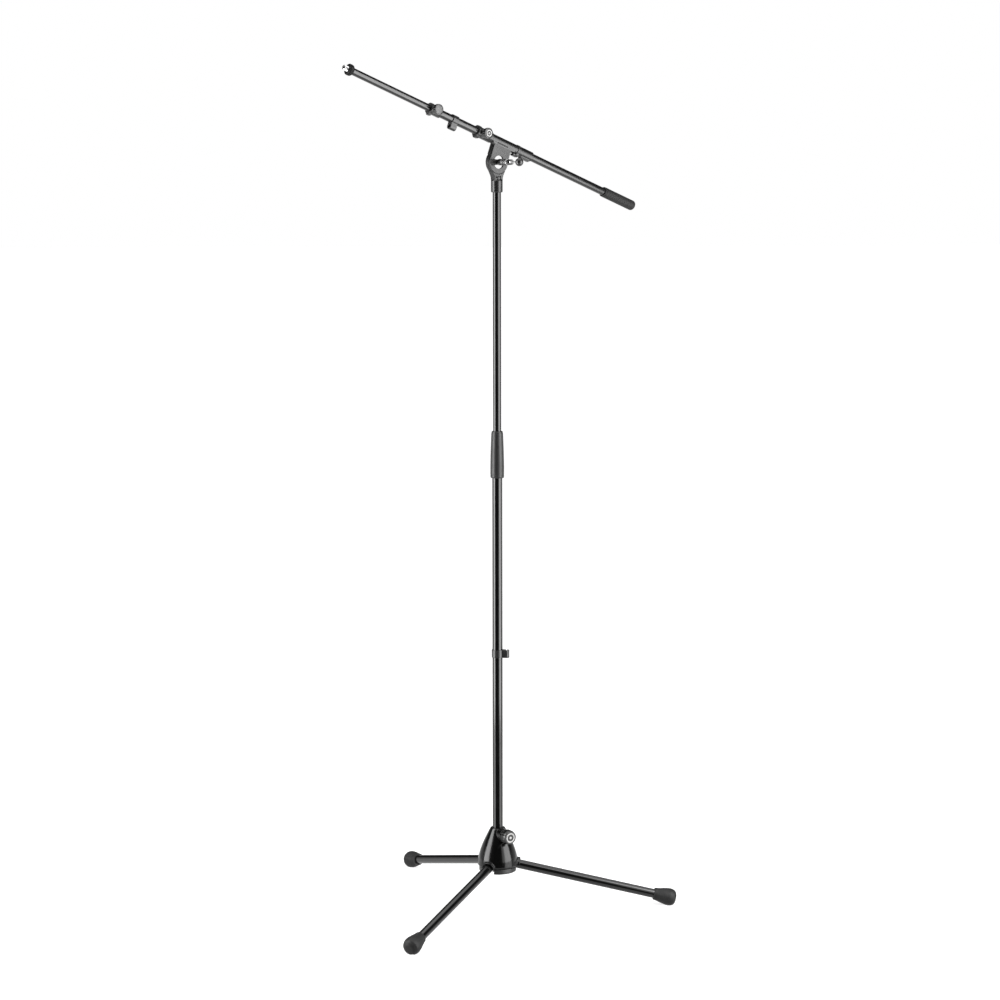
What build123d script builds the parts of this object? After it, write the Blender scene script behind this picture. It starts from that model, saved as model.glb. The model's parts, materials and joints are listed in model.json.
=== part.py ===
from build123d import *
import math
import os

# Boom microphone stand: three-leg folding base, two-stage column, tilting
# swivel and two-stage boom.  Millimetres, +Z up, origin on the floor directly
# under the column axis.  Leg 1 points along +X.

# --- driving dimensions ----------------------------------------------------
# base
LEG_AZ = (0.0, 120.0, 240.0)      # directions the legs point
HINGE_R = 28.0                    # leg hinge distance from the column axis
HINGE_Z = 89.25                   # leg hinge height
HINGE_PIN_R = 3.0
LEG_DROP = 13.42                  # leg slope below horizontal, degrees
LEG_R, LEG_WALL = 9.0, 1.2        # leg tube
LEG_TUBE_START = 8.0              # tube ends, measured along the leg from the hinge
LEG_TUBE_END = 305.0
FOOT_REACH = 335.0                # floor contact distance from the column axis
HUB_BOTTOM, HUB_TOP = 74.0, 104.0
HUB_BORE_R = 12.5
HUB_SCREW_AZ = (60, 180, 300)
HUB_SCREW_PITCH_R = 27            # hub screw distance from the column axis
HUB_SCREW_R = 2.5
HUB_SCREW_SEAT = HUB_BOTTOM + 4.0 # height of the recess floor above the screw heads
BELL_EDGE, BELL_TOP = 85.0, 161.0
BELL_BORE_R = 10.6
KNOB_AZ = 300.0                   # base clamp knob direction
KNOB_Z = 149.5
BASE_SCREW_R = 4.0

# column
LOW_R, LOW_WALL = 10.0, 1.2       # lower tube
LOW_BOTTOM, LOW_TOP = 77.0, 902.0
UP_R, UP_WALL = 8.0, 1.2          # upper tube
UP_BOTTOM, UP_TOP = 640.0, 1423.5
SPIGOT_R, SPIGOT_TOP = 4.76, 1432.0   # spigot on top of the upper tube
CLUTCH_BOTTOM, CLUTCH_TOP = 853.5, 944.0
COLLET_BOTTOM = 907.6
TUBE_FIT = 0.06                   # radial clearance round sliding and held tubes

# swivel
PIVOT_Z = 1457.7                  # boom tilt axis height
BOOM_AZ = 218.0                   # direction the boom's thread end points
BOOM_TILT = 19.8                  # boom rise above horizontal, degrees
BOOM_UP = 38.0                    # boom axis above the tilt axis
RING_R, HOLE_R = 22.0, 12.5       # tilt discs
DISC_RELIEF_R = RING_R + 0.6      # clearance cut round a disc
HALF_LAP = 7.0                    # half thickness of the tilt joint
HALF_GAP = 0.5                    # half the gap between the tilt discs

# boom, positions measured along the boom from the tilt axis
OUT_R, OUT_WALL = 7.5, 0.7        # outer tube
OUT_REAR, OUT_FRONT = -352.0, 172.0
IN_R, IN_WALL = 6.6, 1.0          # inner tube
IN_REAR, IN_FRONT = -60.0, 376.5
GRIP_REAR, GRIP_FRONT = -361.4, -276.0
THREAD_START, THREAD_END = 386.8, 396.0
THREAD_R = 4.7625                 # 3/8 inch thread, major radius
BOOM_CLAMP_X = 179.5              # clamp screw between the boom tubes
HOLDER_CLAMP_X = 53.5             # clamp screw on the boom holder
HOLDER_SOCKET_R = 8.4             # sockets and spigots of the holder sleeve
SMALL_SCREW_R = 3.0               # boom clamp screws

# inside radii of the tubes
LEG_IN_R = LEG_R - LEG_WALL
LOW_IN_R = LOW_R - LOW_WALL
UP_IN_R = UP_R - UP_WALL
IN_IN_R = IN_R - IN_WALL

parts = {}


# --- helpers ---------------------------------------------------------------
BASE_ALIGN = (Align.CENTER, Align.CENTER, Align.MIN)


def rod_z(radius, z0, z1, x=0.0, y=0.0):
    return Pos(x, y, z0) * Cylinder(radius, z1 - z0, align=BASE_ALIGN)


def rod_x(radius, x0, x1, y=0.0, z=0.0):
    return Pos(x0, y, z) * Rot(0, 90, 0) * Cylinder(radius, x1 - x0, align=BASE_ALIGN)


def rod_y(radius, y0, y1, x=0.0, z=0.0):
    return Pos(x, y0, z) * Rot(-90, 0, 0) * Cylinder(radius, y1 - y0, align=BASE_ALIGN)


def tube(rod, radius, wall, start, end):
    return rod(radius, start, end) - rod(radius - wall, start - 1, end + 1)


def block(x0, x1, y0, y1, z0, z1):
    return Pos((x0 + x1) / 2, (y0 + y1) / 2, (z0 + z1) / 2) * Box(x1 - x0, y1 - y0, z1 - z0)


def turn_z(outline):
    """Turn a closed (radius, height) outline about Z."""
    wire = Polyline(*[(r, 0, z) for r, z in outline], close=True)
    return revolve(make_face(wire), Axis.Z)


def turn_x(outline):
    """Turn a closed (radius, x) outline about X."""
    return Rot(0, 90, 0) * turn_z(outline)


def turn_y(outline):
    """Turn a closed (radius, y) outline about Y."""
    return Rot(-90, 0, 0) * turn_z(outline)


def plate_xz(outline, y0, y1):
    wire = Polyline(*[(x, y0, z) for x, z in outline], close=True)
    return extrude(make_face(wire), y1 - y0, dir=(0, 1, 0))


def plate_yz(outline, x0, x1):
    wire = Polyline(*[(x0, y, z) for y, z in outline], close=True)
    return extrude(make_face(wire), x1 - x0, dir=(1, 0, 0))


def mirrored(half):
    """Close a half outline of (half width, z) points with its mirror image."""
    return half + [(-width, z) for width, z in reversed(half)]


def cut_flutes(shape, rod, count, radius, pitch_r, start, end):
    """Cut evenly spaced grooves round a knob; rod sets the axis direction."""
    for i in range(count):
        angle = math.radians(360 / count * i)
        shape -= rod(radius, start, end, pitch_r * math.cos(angle), pitch_r * math.sin(angle))
    return shape


def around(angle):
    return Rot(0, 0, angle)


# Leg frame: X out along the leg from the hinge, Y along the hinge pin.
LEG = Pos(HINGE_R, 0, HINGE_Z) * Rot(0, LEG_DROP, 0)
# Base knob frame: X outwards along the clamp screw, from the column axis.
BASE_KNOB = around(KNOB_AZ) * Pos(0, 0, KNOB_Z)
# Swivel frame: X horizontal along the boom's front, Y along the tilt axis.
SWIVEL = Pos(0, 0, PIVOT_Z) * Rot(0, 0, BOOM_AZ)
# Tilt frame: swivel frame raised by the boom's tilt.
TILT = SWIVEL * Rot(0, -BOOM_TILT, 0)
# Boom frame: tilt frame moved up so that X runs along the boom axis.
BOOM = TILT * Pos(0, 0, BOOM_UP)


# --- column, lower stage ---------------------------------------------------
parts["lower_tube"] = tube(rod_z, LOW_R, LOW_WALL, LOW_BOTTOM, LOW_TOP)
parts["lower_tube_cap"] = turn_z([
    (0, 73.5), (8.6, 73.5), (LOW_R, 74.9), (LOW_R, LOW_BOTTOM), (LOW_IN_R, LOW_BOTTOM),
    (LOW_IN_R, 91.0), (8.0, 92.0), (5.5, 92.0), (5.5, 79.0), (0, 79.0)])


# --- height clutch ---------------------------------------------------------
def clutch_collet():
    """Tapered sleeve round the upper tube, with four slots open at the top."""
    bore_r, top = UP_R + TUBE_FIT, 936.0
    collet = turn_z([(bore_r, COLLET_BOTTOM), (9.7, COLLET_BOTTOM), (9.0, top), (bore_r, top)])
    for angle in (0, 90, 180, 270):
        collet -= around(angle) * block(7.0, 11.0, -0.7, 0.7, 913.0, 940.0)
    return collet


parts["clutch_body"] = turn_z([
    (LOW_R, 856.0), (11.2, 856.0), (11.2, 900.0), (10.0, COLLET_BOTTOM), (8.3, COLLET_BOTTOM),
    (8.3, LOW_TOP), (LOW_R, LOW_TOP)])
parts["clutch_collet"] = clutch_collet()
# outside going up, then the stepped bore going down
parts["clutch_grip"] = turn_z([
    (12.5, CLUTCH_BOTTOM), (13.3, CLUTCH_BOTTOM + 2.0), (13.4, 862.0), (13.4, 878.0),
    (13.2, 888.0), (12.85, 903.0), (12.45, 914.0), (12.1, 924.0), (11.8, 932.0),
    (11.4, 939.5), (10.7, 943.0), (10.0, CLUTCH_TOP),
    (8.5, CLUTCH_TOP), (8.5, 938.5), (9.2, 937.4), (9.95, 908.5), (10.4, 907.4),
    (11.32, 901.0), (11.32, CLUTCH_BOTTOM)])


# --- column cable clip -----------------------------------------------------
def column_cable_clip():
    """Band round the lower tube with an open hook."""
    bottom, top = 501.0, 516.0
    cut = (bottom - 5.0, top + 5.0)
    hook_x, hook_r = 17.5, 6.0
    clip = rod_z(11.4, bottom, top) + block(6.0, hook_x, -hook_r, hook_r, bottom, top)
    clip += rod_z(hook_r, bottom, top, x=hook_x)
    clip -= rod_z(LOW_R + 0.05, *cut)
    clip -= rod_z(3.6, bottom - 5.0, bottom + 25.0, x=17.0)
    clip -= block(15.8, 18.2, 0.0, 9.0, *cut)
    return clip


CLIP_AZ = 345.0
parts["column_cable_clip"] = around(CLIP_AZ) * column_cable_clip()


# --- base hub --------------------------------------------------------------
def leg_hub():
    slot_half = LEG_R + 0.65
    hub = turn_z([
        (HUB_BORE_R, HUB_BOTTOM), (35.4, HUB_BOTTOM), (37.0, HUB_BOTTOM + 1.6), (37.0, 83.8),
        (33.0, 83.8), (33.0, 99.0), (29.5, HUB_TOP), (HUB_BORE_R, HUB_TOP)])
    slot = LEG * block(-9.6, 60.0, -slot_half, slot_half, -60.0, LEG_R + 0.35)
    slot -= rod_z(17.0, 40.0, 140.0)
    slot += block(17.5, 60.0, -slot_half, slot_half, 40.0, HINGE_Z + 4)
    for angle in LEG_AZ:
        hub -= around(angle) * slot
        hub -= around(angle) * rod_y(HINGE_PIN_R, -18.0, 18.0, HINGE_R, HINGE_Z)
        # narrow upright groove in the rim
        hub -= around(angle + 276.5) * block(36.3, 38.0, -0.4, 0.4, HUB_BOTTOM - 1.0, 84.5)
    for angle in HUB_SCREW_AZ:
        hub -= around(angle) * rod_z(2.7, 60.0, 120.0, x=HUB_SCREW_PITCH_R)
        hub -= around(angle) * rod_z(4.8, 60.0, HUB_SCREW_SEAT, x=HUB_SCREW_PITCH_R)
    return hub


def hub_screw():
    """Screw pointing up, with a hexagon socket in the underside of its head."""
    screw = (rod_z(4.5, HUB_BOTTOM + 0.4, HUB_SCREW_SEAT)
             + rod_z(HUB_SCREW_R, HUB_SCREW_SEAT, 116.0))
    screw -= extrude(Plane.XY.offset(HUB_BOTTOM) * RegularPolygon(2.0, 6), 2.4)
    return Pos(HUB_SCREW_PITCH_R, 0, 0) * screw


def hub_bush():
    bore_r, bottom, top = LOW_R + 0.07, 75.5, 106.0
    return turn_z([(bore_r, bottom), (bore_r, top), (15.0, top), (15.0, HUB_TOP),
                   (HUB_BORE_R, HUB_TOP), (HUB_BORE_R, bottom)])


parts["leg_hub"] = leg_hub()
parts["leg_hinge_pins"] = Compound(label="leg_hinge_pins", children=[
    around(angle) * rod_y(HINGE_PIN_R, -17.5, 17.5, HINGE_R, HINGE_Z) for angle in LEG_AZ])
parts["hub_screws"] = Compound(label="hub_screws", children=[
    around(angle) * hub_screw() for angle in HUB_SCREW_AZ])
parts["hub_bush"] = hub_bush()


# --- bell housing ----------------------------------------------------------
BELL_WIDEST_Z = 91.0
BELL_OUTLINE_TOP = 157.0          # top height at which the outlines are listed
# (radius, height), going up
BELL_OUTER = [
    (37.4, BELL_EDGE), (39.1, 86.4), (39.6, 91.0), (39.0, 98.0), (37.4, 106.0), (35.2, 113.5),
    (32.4, 121.0), (29.4, 128.0), (26.0, 135.0), (22.4, 142.0), (19.0, 148.5)]
# (radius, height), going down
BELL_INNER = [
    (16.0, 146.5), (19.3, 140.5), (23.0, 133.5), (26.5, 126.2), (29.5, 119.2), (32.2, 111.5),
    (34.4, 104.0), (36.0, 96.0), (36.6, 90.0), (36.0, BELL_EDGE)]


def raised(z):
    """Stretch heights above the bell's widest ring to the bell's full height."""
    if z < BELL_WIDEST_Z:
        return z
    stretch = BELL_OUTLINE_TOP - BELL_WIDEST_Z
    return BELL_WIDEST_Z + (z - BELL_WIDEST_Z) * (BELL_TOP - BELL_WIDEST_Z) / stretch


def bell_shell():
    """Shell turned outside and inside, closed at the top round the tube."""
    outer = [(r, raised(z)) for r, z in BELL_OUTER]
    inner = [(r, raised(z)) for r, z in BELL_INNER]
    with BuildPart() as shell:
        with BuildSketch(Plane.XZ):
            with BuildLine():
                Spline(*outer)
                Polyline(outer[-1], (15.6, raised(154.6)), (14.4, raised(156.4)),
                         (13.2, BELL_TOP), (BELL_BORE_R, BELL_TOP),
                         (BELL_BORE_R, inner[0][1]), inner[0])
                Spline(*inner)
                Line(inner[-1], outer[0])
            make_face()
        revolve(axis=Axis.Z)
    return shell.part


def bell_housing():
    arch_r, rim_r = 10.9, 13.4
    rim_x = (4.0, 14.2)
    bell = bell_shell() + BASE_KNOB * rod_x(12.4, 12.0, 27.0)
    for angle in HUB_SCREW_AZ:
        bell += around(angle) * rod_z(5.0, HUB_TOP + 0.1, 120.0, x=HUB_SCREW_PITCH_R)
        bell -= around(angle) * rod_z(HUB_SCREW_R, 100.0, 116.5, x=HUB_SCREW_PITCH_R)
    bell -= rod_z(BELL_BORE_R, 80.0, 170.0)
    bell -= BASE_KNOB * rod_x(BASE_SCREW_R + 0.05, 5.0, 30.0)
    # leg arches, each with a raised rim
    arch = LEG * (rod_x(arch_r, 4.0, 60.0) + block(4.0, 60.0, -arch_r, arch_r, -60.0, 0.0))
    rim = LEG * (rod_x(rim_r, *rim_x) + block(*rim_x, -rim_r, rim_r, -20.0, 0.0))
    rim = rim - rod_z(35.4, 40.0, 140.0) - block(-60.0, 60.0, -60.0, 60.0, 0.0, BELL_EDGE)
    for angle in LEG_AZ:
        bell += around(angle) * rim
    for angle in LEG_AZ:
        bell -= around(angle) * (arch - rod_z(30.5, 40.0, 140.0))
    return bell


parts["bell_housing"] = bell_housing()


# --- base clamp (base knob frame) ------------------------------------------
CAP_R, CAP_X = 10.2, 46.0         # ring cap in the knob's outer face
SCREW_START, SCREW_END = 12.3, 40.0


def base_clamp_knob():
    knob = turn_x([
        (0, 27.4), (7.5, 27.4), (8.5, 28.2), (9.0, 30.0), (13.4, 31.0), (14.0, 32.6),
        (14.0, 42.0), (12.8, 46.2), (12.0, 47.0), (CAP_R, 47.0), (CAP_R, CAP_X), (0, CAP_X)])
    knob = cut_flutes(knob, rod_x, 12, 1.7, 15.0, 31.8, 44.0)
    return knob - rod_x(BASE_SCREW_R, 20.0, SCREW_END)


def base_knob_cap():
    face = CAP_X + 0.8
    raised_ring = rod_x(9.4, face, 47.4) - rod_x(6.8, CAP_X, 48.0)
    return rod_x(CAP_R, CAP_X, face) + raised_ring + rod_x(2.6, face, 47.3)


parts["base_clamp_knob"] = BASE_KNOB * base_clamp_knob()
parts["base_clamp_screw"] = BASE_KNOB * rod_x(BASE_SCREW_R, SCREW_START, SCREW_END)
parts["base_knob_cap"] = BASE_KNOB * base_knob_cap()
parts["base_clamp_shoe"] = BASE_KNOB * rod_x(3.95, 10.2, SCREW_START)

# --- legs (leg frame) ------------------------------------------------------
FOOT_X = (FOOT_REACH - HINGE_R) / math.cos(math.radians(LEG_DROP))
# (radius, distance along the leg from FOOT_X)
FOOT_OUTLINE = [
    (LEG_R, -27.0), (11.4, -27.0), (12.0, -26.0), (12.3, -22.0), (13.4, -17.0), (15.3, -9.0),
    (16.6, -2.0), (17.2, 3.0), (16.9, 7.5), (15.4, 12.0), (12.4, 15.6), (8.0, 17.4), (0, 18.0)]


def leg_knuckle():
    """Hinge end rounded about the pin, with a plug into the leg tube."""
    knuckle = rod_x(LEG_R, 0.0, LEG_TUBE_START)
    knuckle += rod_x(LEG_R, -LEG_R, 0.0) & rod_y(LEG_R, -20, 20)
    knuckle += rod_x(LEG_IN_R, LEG_TUBE_START, 34.0)
    return knuckle - rod_y(HINGE_PIN_R + 0.05, -20, 20)


def leg_foot():
    return turn_x([(0, LEG_TUBE_END), (LEG_R, LEG_TUBE_END)]
                  + [(r, FOOT_X + x) for r, x in FOOT_OUTLINE])


below_floor = Pos(0, 0, -50) * Box(1200, 1200, 100)
for number, angle in enumerate(LEG_AZ, start=1):
    place = around(angle) * LEG
    parts[f"leg_knuckle_{number}"] = place * leg_knuckle()
    parts[f"leg_tube_{number}"] = place * tube(rod_x, LEG_R, LEG_WALL,
                                               LEG_TUBE_START, LEG_TUBE_END)
    parts[f"leg_foot_{number}"] = place * leg_foot() - below_floor


# --- column, upper stage ---------------------------------------------------
def upper_tube_guide():
    """Split ring round the neck of the upper tube's bottom plug."""
    guide = turn_z([(5.66, 620.1), (8.2, 620.1), (8.72, 621.2), (8.72, 632.8), (8.2, 633.9),
                    (5.66, 633.9)])
    return guide - block(4.0, 10.0, -0.6, 0.6, 610.0, 640.0)


parts["upper_tube"] = tube(rod_z, UP_R, UP_WALL, UP_BOTTOM, UP_TOP)
parts["upper_tube_plug"] = turn_z([
    (0, 616.0), (7.2, 616.0), (7.6, 616.6), (7.6, 620.0), (5.6, 620.0), (5.6, 634.0),
    (UP_R, 634.0), (UP_R, UP_BOTTOM), (UP_IN_R, UP_BOTTOM), (UP_IN_R, 661.0), (0, 661.0)])
parts["upper_tube_guide"] = upper_tube_guide()
parts["upper_tube_insert"] = (rod_z(UP_IN_R, 1394.0, UP_TOP)
                              + rod_z(SPIGOT_R, UP_TOP, SPIGOT_TOP))


# --- swivel base and tilt joint (swivel frame) -----------------------------
def swivel_base():
    tube_top = UP_TOP - PIVOT_Z
    disc = rod_y(RING_R, -HALF_LAP, -HALF_GAP)
    # neck: full thickness below the discs
    neck = plate_xz(mirrored([(17.5, -13.0), (14.2, -18.5), (10.8, -25.0), (9.6, -28.5),
                              (8.8, -36.0)]), -HALF_LAP, HALF_LAP)
    neck -= rod_y(DISC_RELIEF_R, -HALF_GAP, 10.0)
    neck -= block(-5.0, 13.0, 5.4, 8.0, -30.0, -26.5)
    stem = turn_z([(0, -57.1), (10.2, -57.1), (11.25, -55.6), (11.25, -35.2), (10.4, -33.6),
                   (8.6, -32.6), (8.4, -28.0), (0, -28.0)])
    base = disc + neck
    # flared see-through hole with a spoke carrying the clamp screw
    hole = turn_y([(0, HALF_GAP), (15.0, HALF_GAP), (15.0, -HALF_GAP), (19.5, -HALF_LAP),
                   (19.5, -12.0), (0, -12.0)])
    base -= hole - block(-25.0, 25.0, -15.0, 2.0, -5.2, 5.2)
    base += rod_y(6.0, -11.0, -HALF_LAP + 1.0)
    base += stem
    base -= rod_y(4.0, -20.0, 0.0)
    base -= rod_z(UP_R, -70.0, tube_top)
    base -= rod_z(SPIGOT_R, tube_top - 1.0, SPIGOT_TOP - PIVOT_Z)
    return base


def clamp_bridge():
    """Bar let into a groove across the holder's disc."""
    bridge = block(-19.9, 19.9, 3.4, 6.9, -5.0, 5.0)
    long_edges = bridge.edges().filter_by(Axis.X)
    bridge = fillet([edge for edge in long_edges if edge.center().Y > 5.0], 1.0)
    return bridge - rod_y(4.2, -2.0, 20.0)


parts["swivel_base"] = SWIVEL * swivel_base()
parts["tilt_washer"] = SWIVEL * (rod_y(21.0, -0.5, 0.4) - rod_y(16.0, -1.0, 1.0))
parts["clamp_bridge"] = SWIVEL * clamp_bridge()

# --- T-bar clamp screw (swivel frame) --------------------------------------
T_SCREW_R, T_SCREW_END = 3.93, 33.0
T_PIN_R, T_PIN_Y = 1.25, 41.5     # cross pin that carries the lever
LEVER_R, LEVER_END = 1.6, 62.0


def t_bar_head():
    head = turn_y([(0, T_SCREW_END), (4.9, T_SCREW_END), (5.4, 33.8), (5.4, 42.5), (4.6, 45.0),
                   (3.6, 46.0), (0, 46.0)])
    head -= block(-8.0, 8.0, 36.5, 50.0, -2.05, 2.05)
    return head - rod_z(T_PIN_R, -8.0, 8.0, y=T_PIN_Y)


def t_bar_lever():
    lever = rod_y(LEVER_R, 43.5, LEVER_END) + rod_z(3.4, -1.85, 1.85, y=T_PIN_Y)
    return lever - rod_z(T_PIN_R + 0.05, -8.0, 8.0, y=T_PIN_Y)


parts["t_bar_screw"] = SWIVEL * rod_y(T_SCREW_R, -13.0, T_SCREW_END)
parts["t_bar_collar"] = SWIVEL * turn_y([
    (T_SCREW_R, 7.05), (6.0, 7.05), (6.2, 7.6), (6.2, 31.6), (5.6, T_SCREW_END),
    (T_SCREW_R, T_SCREW_END)])
parts["t_bar_head"] = SWIVEL * t_bar_head()
parts["t_bar_pin"] = SWIVEL * rod_z(T_PIN_R, -5.0, 5.0, y=T_PIN_Y)
parts["t_bar_lever"] = SWIVEL * t_bar_lever()
parts["t_bar_ball"] = SWIVEL * (Pos(0, 66.0, 0) * Sphere(7.7) - rod_y(LEVER_R, 50.0, LEVER_END))


# --- boom holder casting (tilt frame) --------------------------------------
def boom_holder():
    ring = rod_y(RING_R, HALF_GAP, HALF_LAP)
    web = plate_xz([(-21.0, 0.0), (22.0, 0.0), (21.5, 30.5), (-20.5, 30.5)], HALF_GAP, HALF_LAP)
    web_back = plate_xz([(-21.0, 8.0), (22.0, 8.0), (21.5, 30.5), (-20.5, 30.5)], -6.5, 0.6)
    web_back -= rod_y(DISC_RELIEF_R, -10.0, HALF_GAP)
    sleeve = rod_x(9.1, -36.0, 30.0, z=BOOM_UP) + rod_x(HOLDER_SOCKET_R, 30.0, 42.0, z=BOOM_UP)
    under = plate_yz([(-6.5, 30.0), (7.0, 30.0), (8.2, BOOM_UP - 3.0), (-8.2, BOOM_UP - 3.0)],
                     -30.0, 26.0)
    holder = ring + web + web_back + sleeve + under
    holder -= rod_y(HOLE_R, -1.0, 10.0)
    # counterbore in the face against the swivel base
    holder -= rod_y(15.5, -0.4, 3.3)
    # groove for the clamp bridge, level in the swivel frame
    holder -= Rot(0, BOOM_TILT, 0) * block(-20.05, 20.05, 3.3, 8.0, -5.1, 5.1)
    holder -= rod_x(OUT_R + TUBE_FIT, -40.0, 50.0, z=BOOM_UP)
    holder -= rod_x(HOLDER_SOCKET_R, -37.0, -26.0, z=BOOM_UP)
    holder -= block(-10.0, 16.0, 6.7, 12.0, 32.6, 34.2)
    return holder


parts["boom_holder"] = TILT * boom_holder()


# --- holder rear bush and collar (boom frame) ------------------------------
def holder_rear_bush():
    bush = rod_x(HOLDER_SOCKET_R, -66.0, -26.0) + rod_x(10.0, -42.0, -36.0)
    bush += plate_yz(mirrored([(7.5, 0.0), (6.5, -10.5), (3.5, -13.5)]), -42.0, -36.0)
    bush += plate_yz(mirrored([(5.0, -9.3), (4.6, -11.5), (3.0, -13.5)]), -36.05, -30.3)
    return bush - rod_x(OUT_R + TUBE_FIT, -70.0, -20.0)


def holder_rear_collar():
    collar = rod_x(9.5, -76.0, -42.0)
    collar += plate_yz(mirrored([(5.5, 0.0), (5.5, -8.5), (3.2, -12.0)]), -72.0, -50.0)
    collar -= rod_x(HOLDER_SOCKET_R, -66.0, -41.0)
    return collar - rod_x(OUT_R + 0.15, -80.0, -60.0)


parts["holder_rear_bush"] = BOOM * holder_rear_bush()
parts["holder_rear_collar"] = BOOM * holder_rear_collar()


# --- boom clamps (boom frame) ----------------------------------------------
def clamp_body(screw_x, sleeve, collar, boss, lug, bores):
    """Sleeve, end collar with a lug below, and a screw boss towards +Y.

    sleeve, collar and bores are (radius, x0, x1); boss is (radius, end y);
    lug is a half outline of (half width, z).
    """
    boss_r, boss_end = boss
    body = rod_x(*sleeve) + rod_x(*collar)
    body += rod_y(boss_r, 0.0, boss_end, screw_x)
    body += plate_yz(mirrored(lug), *collar[1:])
    for bore in bores:
        body -= rod_x(*bore)
    return body - rod_y(SMALL_SCREW_R + 0.05, 0.0, 20.0, screw_x)


def small_knob(back):
    """Clamp knob with its axis along Y and its inner face at y = back."""
    knob = turn_y([(r, back + y) for r, y in [
        (0, 0), (5.5, 0), (6.5, 0.8), (9.6, 1.6), (10.2, 2.6), (10.2, 8.4), (9.5, 9.2),
        (8.0, 9.6), (8.0, 9.0), (0, 9.0)]])
    knob = cut_flutes(knob, rod_y, 10, 1.4, 11.1, back + 2.0, back + 8.0)
    return knob - rod_y(SMALL_SCREW_R, back - 1.0, back + 6.0)


def add_clamp_screw(prefix, screw_x, knob_back, screw_start, shoe_start):
    """Knob, its screw, and the shoe between the screw and the tube."""
    place = BOOM * Pos(screw_x, 0, 0)
    parts[f"{prefix}_knob"] = place * small_knob(knob_back)
    parts[f"{prefix}_screw"] = place * rod_y(SMALL_SCREW_R, screw_start, knob_back + 6.0)
    parts[f"{prefix}_shoe"] = place * rod_y(2.95, shoe_start, screw_start)


parts["holder_clamp_body"] = BOOM * clamp_body(
    HOLDER_CLAMP_X, sleeve=(10.2, 30.0, 62.0), collar=(11.4, 61.0, 68.0), boss=(8.6, 12.5),
    lug=[(8.0, 0.0), (7.0, -9.5), (4.0, -13.0)],
    bores=[(OUT_R + TUBE_FIT, 28.0, 70.0), (HOLDER_SOCKET_R, 28.0, 42.0)])
add_clamp_screw("holder_clamp", HOLDER_CLAMP_X, knob_back=13.0, screw_start=9.8,
                shoe_start=OUT_R + 0.1)
parts["holder_knob_cap"] = BOOM * Pos(HOLDER_CLAMP_X, 0, 0) * (
    rod_y(8.0, 22.0, 22.6) + (rod_y(6.4, 22.6, 23.0) - rod_y(4.5, 22.0, 24.0))
    + rod_y(1.8, 22.6, 23.0))

parts["boom_clamp_body"] = BOOM * clamp_body(
    BOOM_CLAMP_X, sleeve=(9.6, 161.0, 183.0), collar=(10.8, 182.0, 188.0), boss=(8.0, 11.6),
    lug=[(6.0, 0.0), (5.0, -10.0), (3.0, -13.0)],
    bores=[(OUT_R, 150.0, OUT_FRONT), (IN_R + 0.08, OUT_FRONT - 1.0, 200.0)])
add_clamp_screw("boom_clamp", BOOM_CLAMP_X, knob_back=11.9, screw_start=8.9,
                shoe_start=IN_R + 0.12)
parts["boom_knob_cap"] = BOOM * Pos(BOOM_CLAMP_X, 0, 0) * turn_y([
    (0, 20.9), (8.0, 20.9), (8.0, 21.3), (6.6, 21.7), (0, 21.9)])


# --- boom, outer stage (boom frame) ----------------------------------------
def boom_cable_clip():
    """Band round the outer tube with an open hook hanging below."""
    span, cut = (118.0, 132.0), (110.0, 140.0)
    hook_z, hook_r, hook_bore_z = -14.0, 6.0, -13.4
    clip = rod_x(9.1, *span) + block(*span, -hook_r, hook_r, hook_z, 0.0)
    clip += rod_x(hook_r, *span, z=hook_z)
    clip -= rod_x(OUT_R + 0.05, *cut)
    clip -= rod_x(3.6, *cut, z=hook_bore_z)
    return clip - block(*cut, -0.8, 0.8, -25.0, hook_bore_z)


parts["boom_outer_tube"] = BOOM * tube(rod_x, OUT_R, OUT_WALL, OUT_REAR, OUT_FRONT)
parts["boom_grip"] = BOOM * turn_x([
    (0, GRIP_REAR), (7.0, GRIP_REAR), (9.0, GRIP_REAR + 1.2), (10.0, GRIP_REAR + 3.4),
    (10.0, GRIP_FRONT - 4.0), (9.2, GRIP_FRONT - 3.6), (9.2, GRIP_FRONT - 2.8),
    (9.8, GRIP_FRONT - 2.4), (9.8, GRIP_FRONT - 0.6), (9.3, GRIP_FRONT), (OUT_R, GRIP_FRONT),
    (OUT_R, OUT_REAR), (0, OUT_REAR)])
parts["boom_cable_clip"] = BOOM * boom_cable_clip()


# --- boom, inner stage (boom frame) ----------------------------------------
def inner_tube_guide():
    """Split ring round the neck of the inner tube's rear plug."""
    guide = turn_x([(4.46, -75.9), (6.3, -75.9), (6.73, -75.0), (6.73, -65.0), (6.3, -64.1),
                    (4.46, -64.1)])
    return guide - block(-80.0, -60.0, 3.0, 8.0, -0.5, 0.5)


def lock_nut():
    nut = turn_x([(4.23, 377.0), (8.6, 377.0), (10.2, 378.4), (10.7, 380.0), (10.7, 384.8),
                  (10.0, 386.0), (7.0, 386.4), (4.23, 386.4)])
    return cut_flutes(nut, rod_x, 18, 0.9, 11.1, 377.6, 387.4)


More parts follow.
